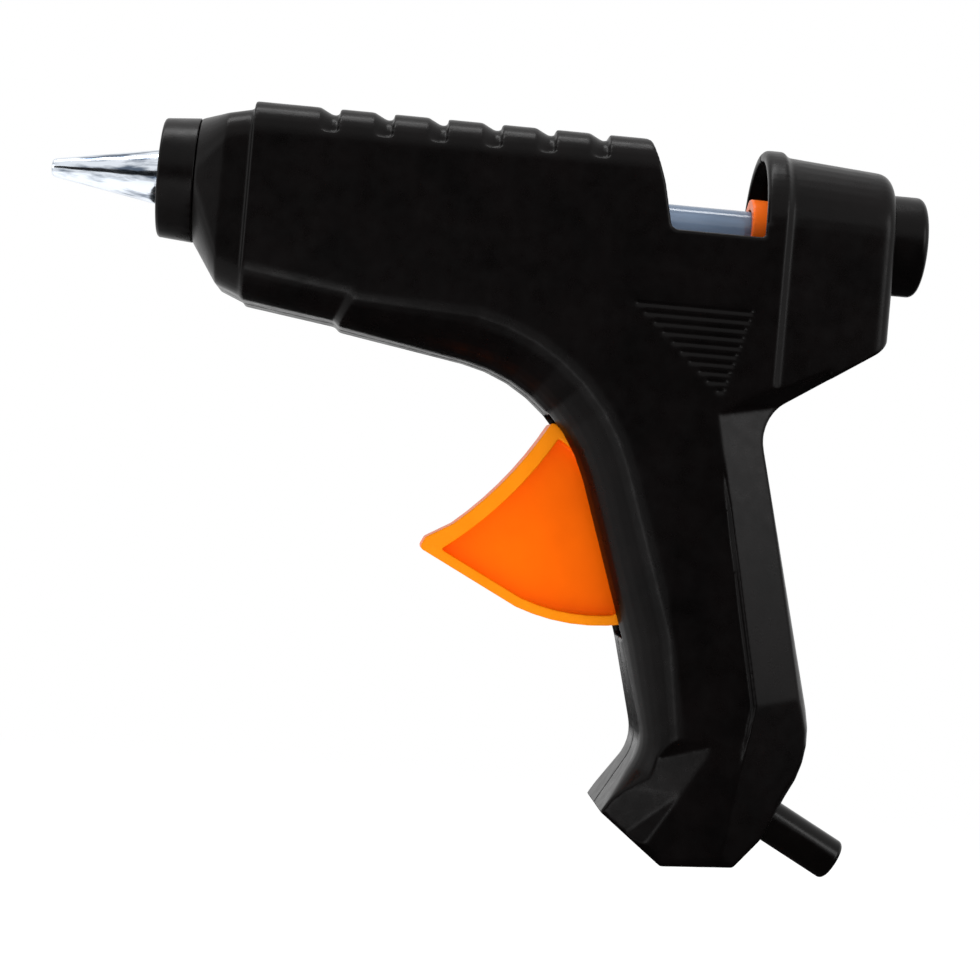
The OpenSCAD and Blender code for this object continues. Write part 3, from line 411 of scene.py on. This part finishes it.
def upright_sheet(x, y, z):
    """Corners of a rectangle that stands along X."""
    return [(x[0], y, z[0]), (x[1], y, z[0]), (x[1], y, z[1]), (x[0], y, z[1])]


def add_sheets(name, sheets, material):
    """An object made of rectangles."""
    mesh = bpy.data.meshes.new(name)
    corners = [corner for sheet in sheets for corner in sheet]
    faces = [tuple(range(first, first + 4)) for first in range(0, len(corners), 4)]
    mesh.from_pydata(corners, [], faces)
    mesh.materials.append(material)
    obj = bpy.data.objects.new(name, mesh)
    scene.collection.objects.link(obj)
    return obj


def floor_material():
    """A pale grey that keeps the shadow under the gun and runs out to white."""
    n = Nodes("floor")
    n.set(base_color=(FLOOR_GREY, FLOOR_GREY, FLOOR_GREY, 1), roughness=FLOOR_ROUGH)
    white = n.add("ShaderNodeEmission")
    where = n.add("ShaderNodeTexCoord")
    shift = n.add("ShaderNodeVectorMath", operation="SUBTRACT")
    shift.inputs[1].default_value = (CAMERA_AIM.x, 0, FLOOR_Z)
    n.link(where.outputs["Object"], shift.inputs[0])
    reach = n.add("ShaderNodeVectorMath", operation="LENGTH")
    n.link(shift.outputs["Vector"], reach.inputs[0])
    fade = n.add("ShaderNodeMapRange", interpolation_type="SMOOTHSTEP")
    fade.inputs["From Min"].default_value = FADE_START
    fade.inputs["From Max"].default_value = FADE_END
    n.link(reach.outputs["Value"], fade.inputs["Value"])
    share = n.add("ShaderNodeMath", operation="MULTIPLY")
    n.link(fade.outputs["Result"], share.inputs[0])
    n.link(seen_directly(n.tree), share.inputs[1])
    mix = n.add("ShaderNodeMixShader")
    n.link(share.outputs[0], mix.inputs["Fac"])
    n.link(n.shader.outputs["BSDF"], mix.inputs[1])
    n.link(white.outputs["Emission"], mix.inputs[2])
    n.link(mix.outputs["Shader"], n.tree.nodes["Material Output"].inputs["Surface"])
    return n.material


def add_floor():
    whole = (-FLOOR_HALF, FLOOR_HALF)
    floor = add_sheets("floor", [level_sheet(whole, whole, FLOOR_Z)], floor_material())


def add_dark_cards():
    n = Nodes("flag")
    n.set(base_color=(CARD_GREY, CARD_GREY, CARD_GREY, 1), roughness=1.0, specular_ior_level=0.0)
    wall = upright_sheet(WALL_X, WALL_Y, (FLOOR_Z, WALL_TOP))
    card = level_sheet(CARD_X, CARD_Y, CARD_Z)
    flag = add_sheets("flag", [wall, card], n.material)
    flag.visible_camera = False
    flag.visible_diffuse = False
    flag.visible_transmission = False
    flag.visible_shadow = False


def add_lamp(name, at, towards, size, watts):
    data = bpy.data.lights.new(name, "AREA")
    data.shape = "RECTANGLE"
    data.size, data.size_y = size
    data.energy = watts
    lamp = bpy.data.objects.new(name, data)
    lamp.location = at
    aim = Vector(towards) - Vector(at)
    lamp.rotation_euler = aim.to_track_quat("-Z", "Y").to_euler()
    scene.collection.objects.link(lamp)


add_camera()
finish_nodes(make_materials())
add_world()
add_floor()
add_dark_cards()
for lamp_name, lamp_values in LAMPS.items():
    add_lamp(lamp_name, **lamp_values)
scene.view_settings.view_transform = "Standard"
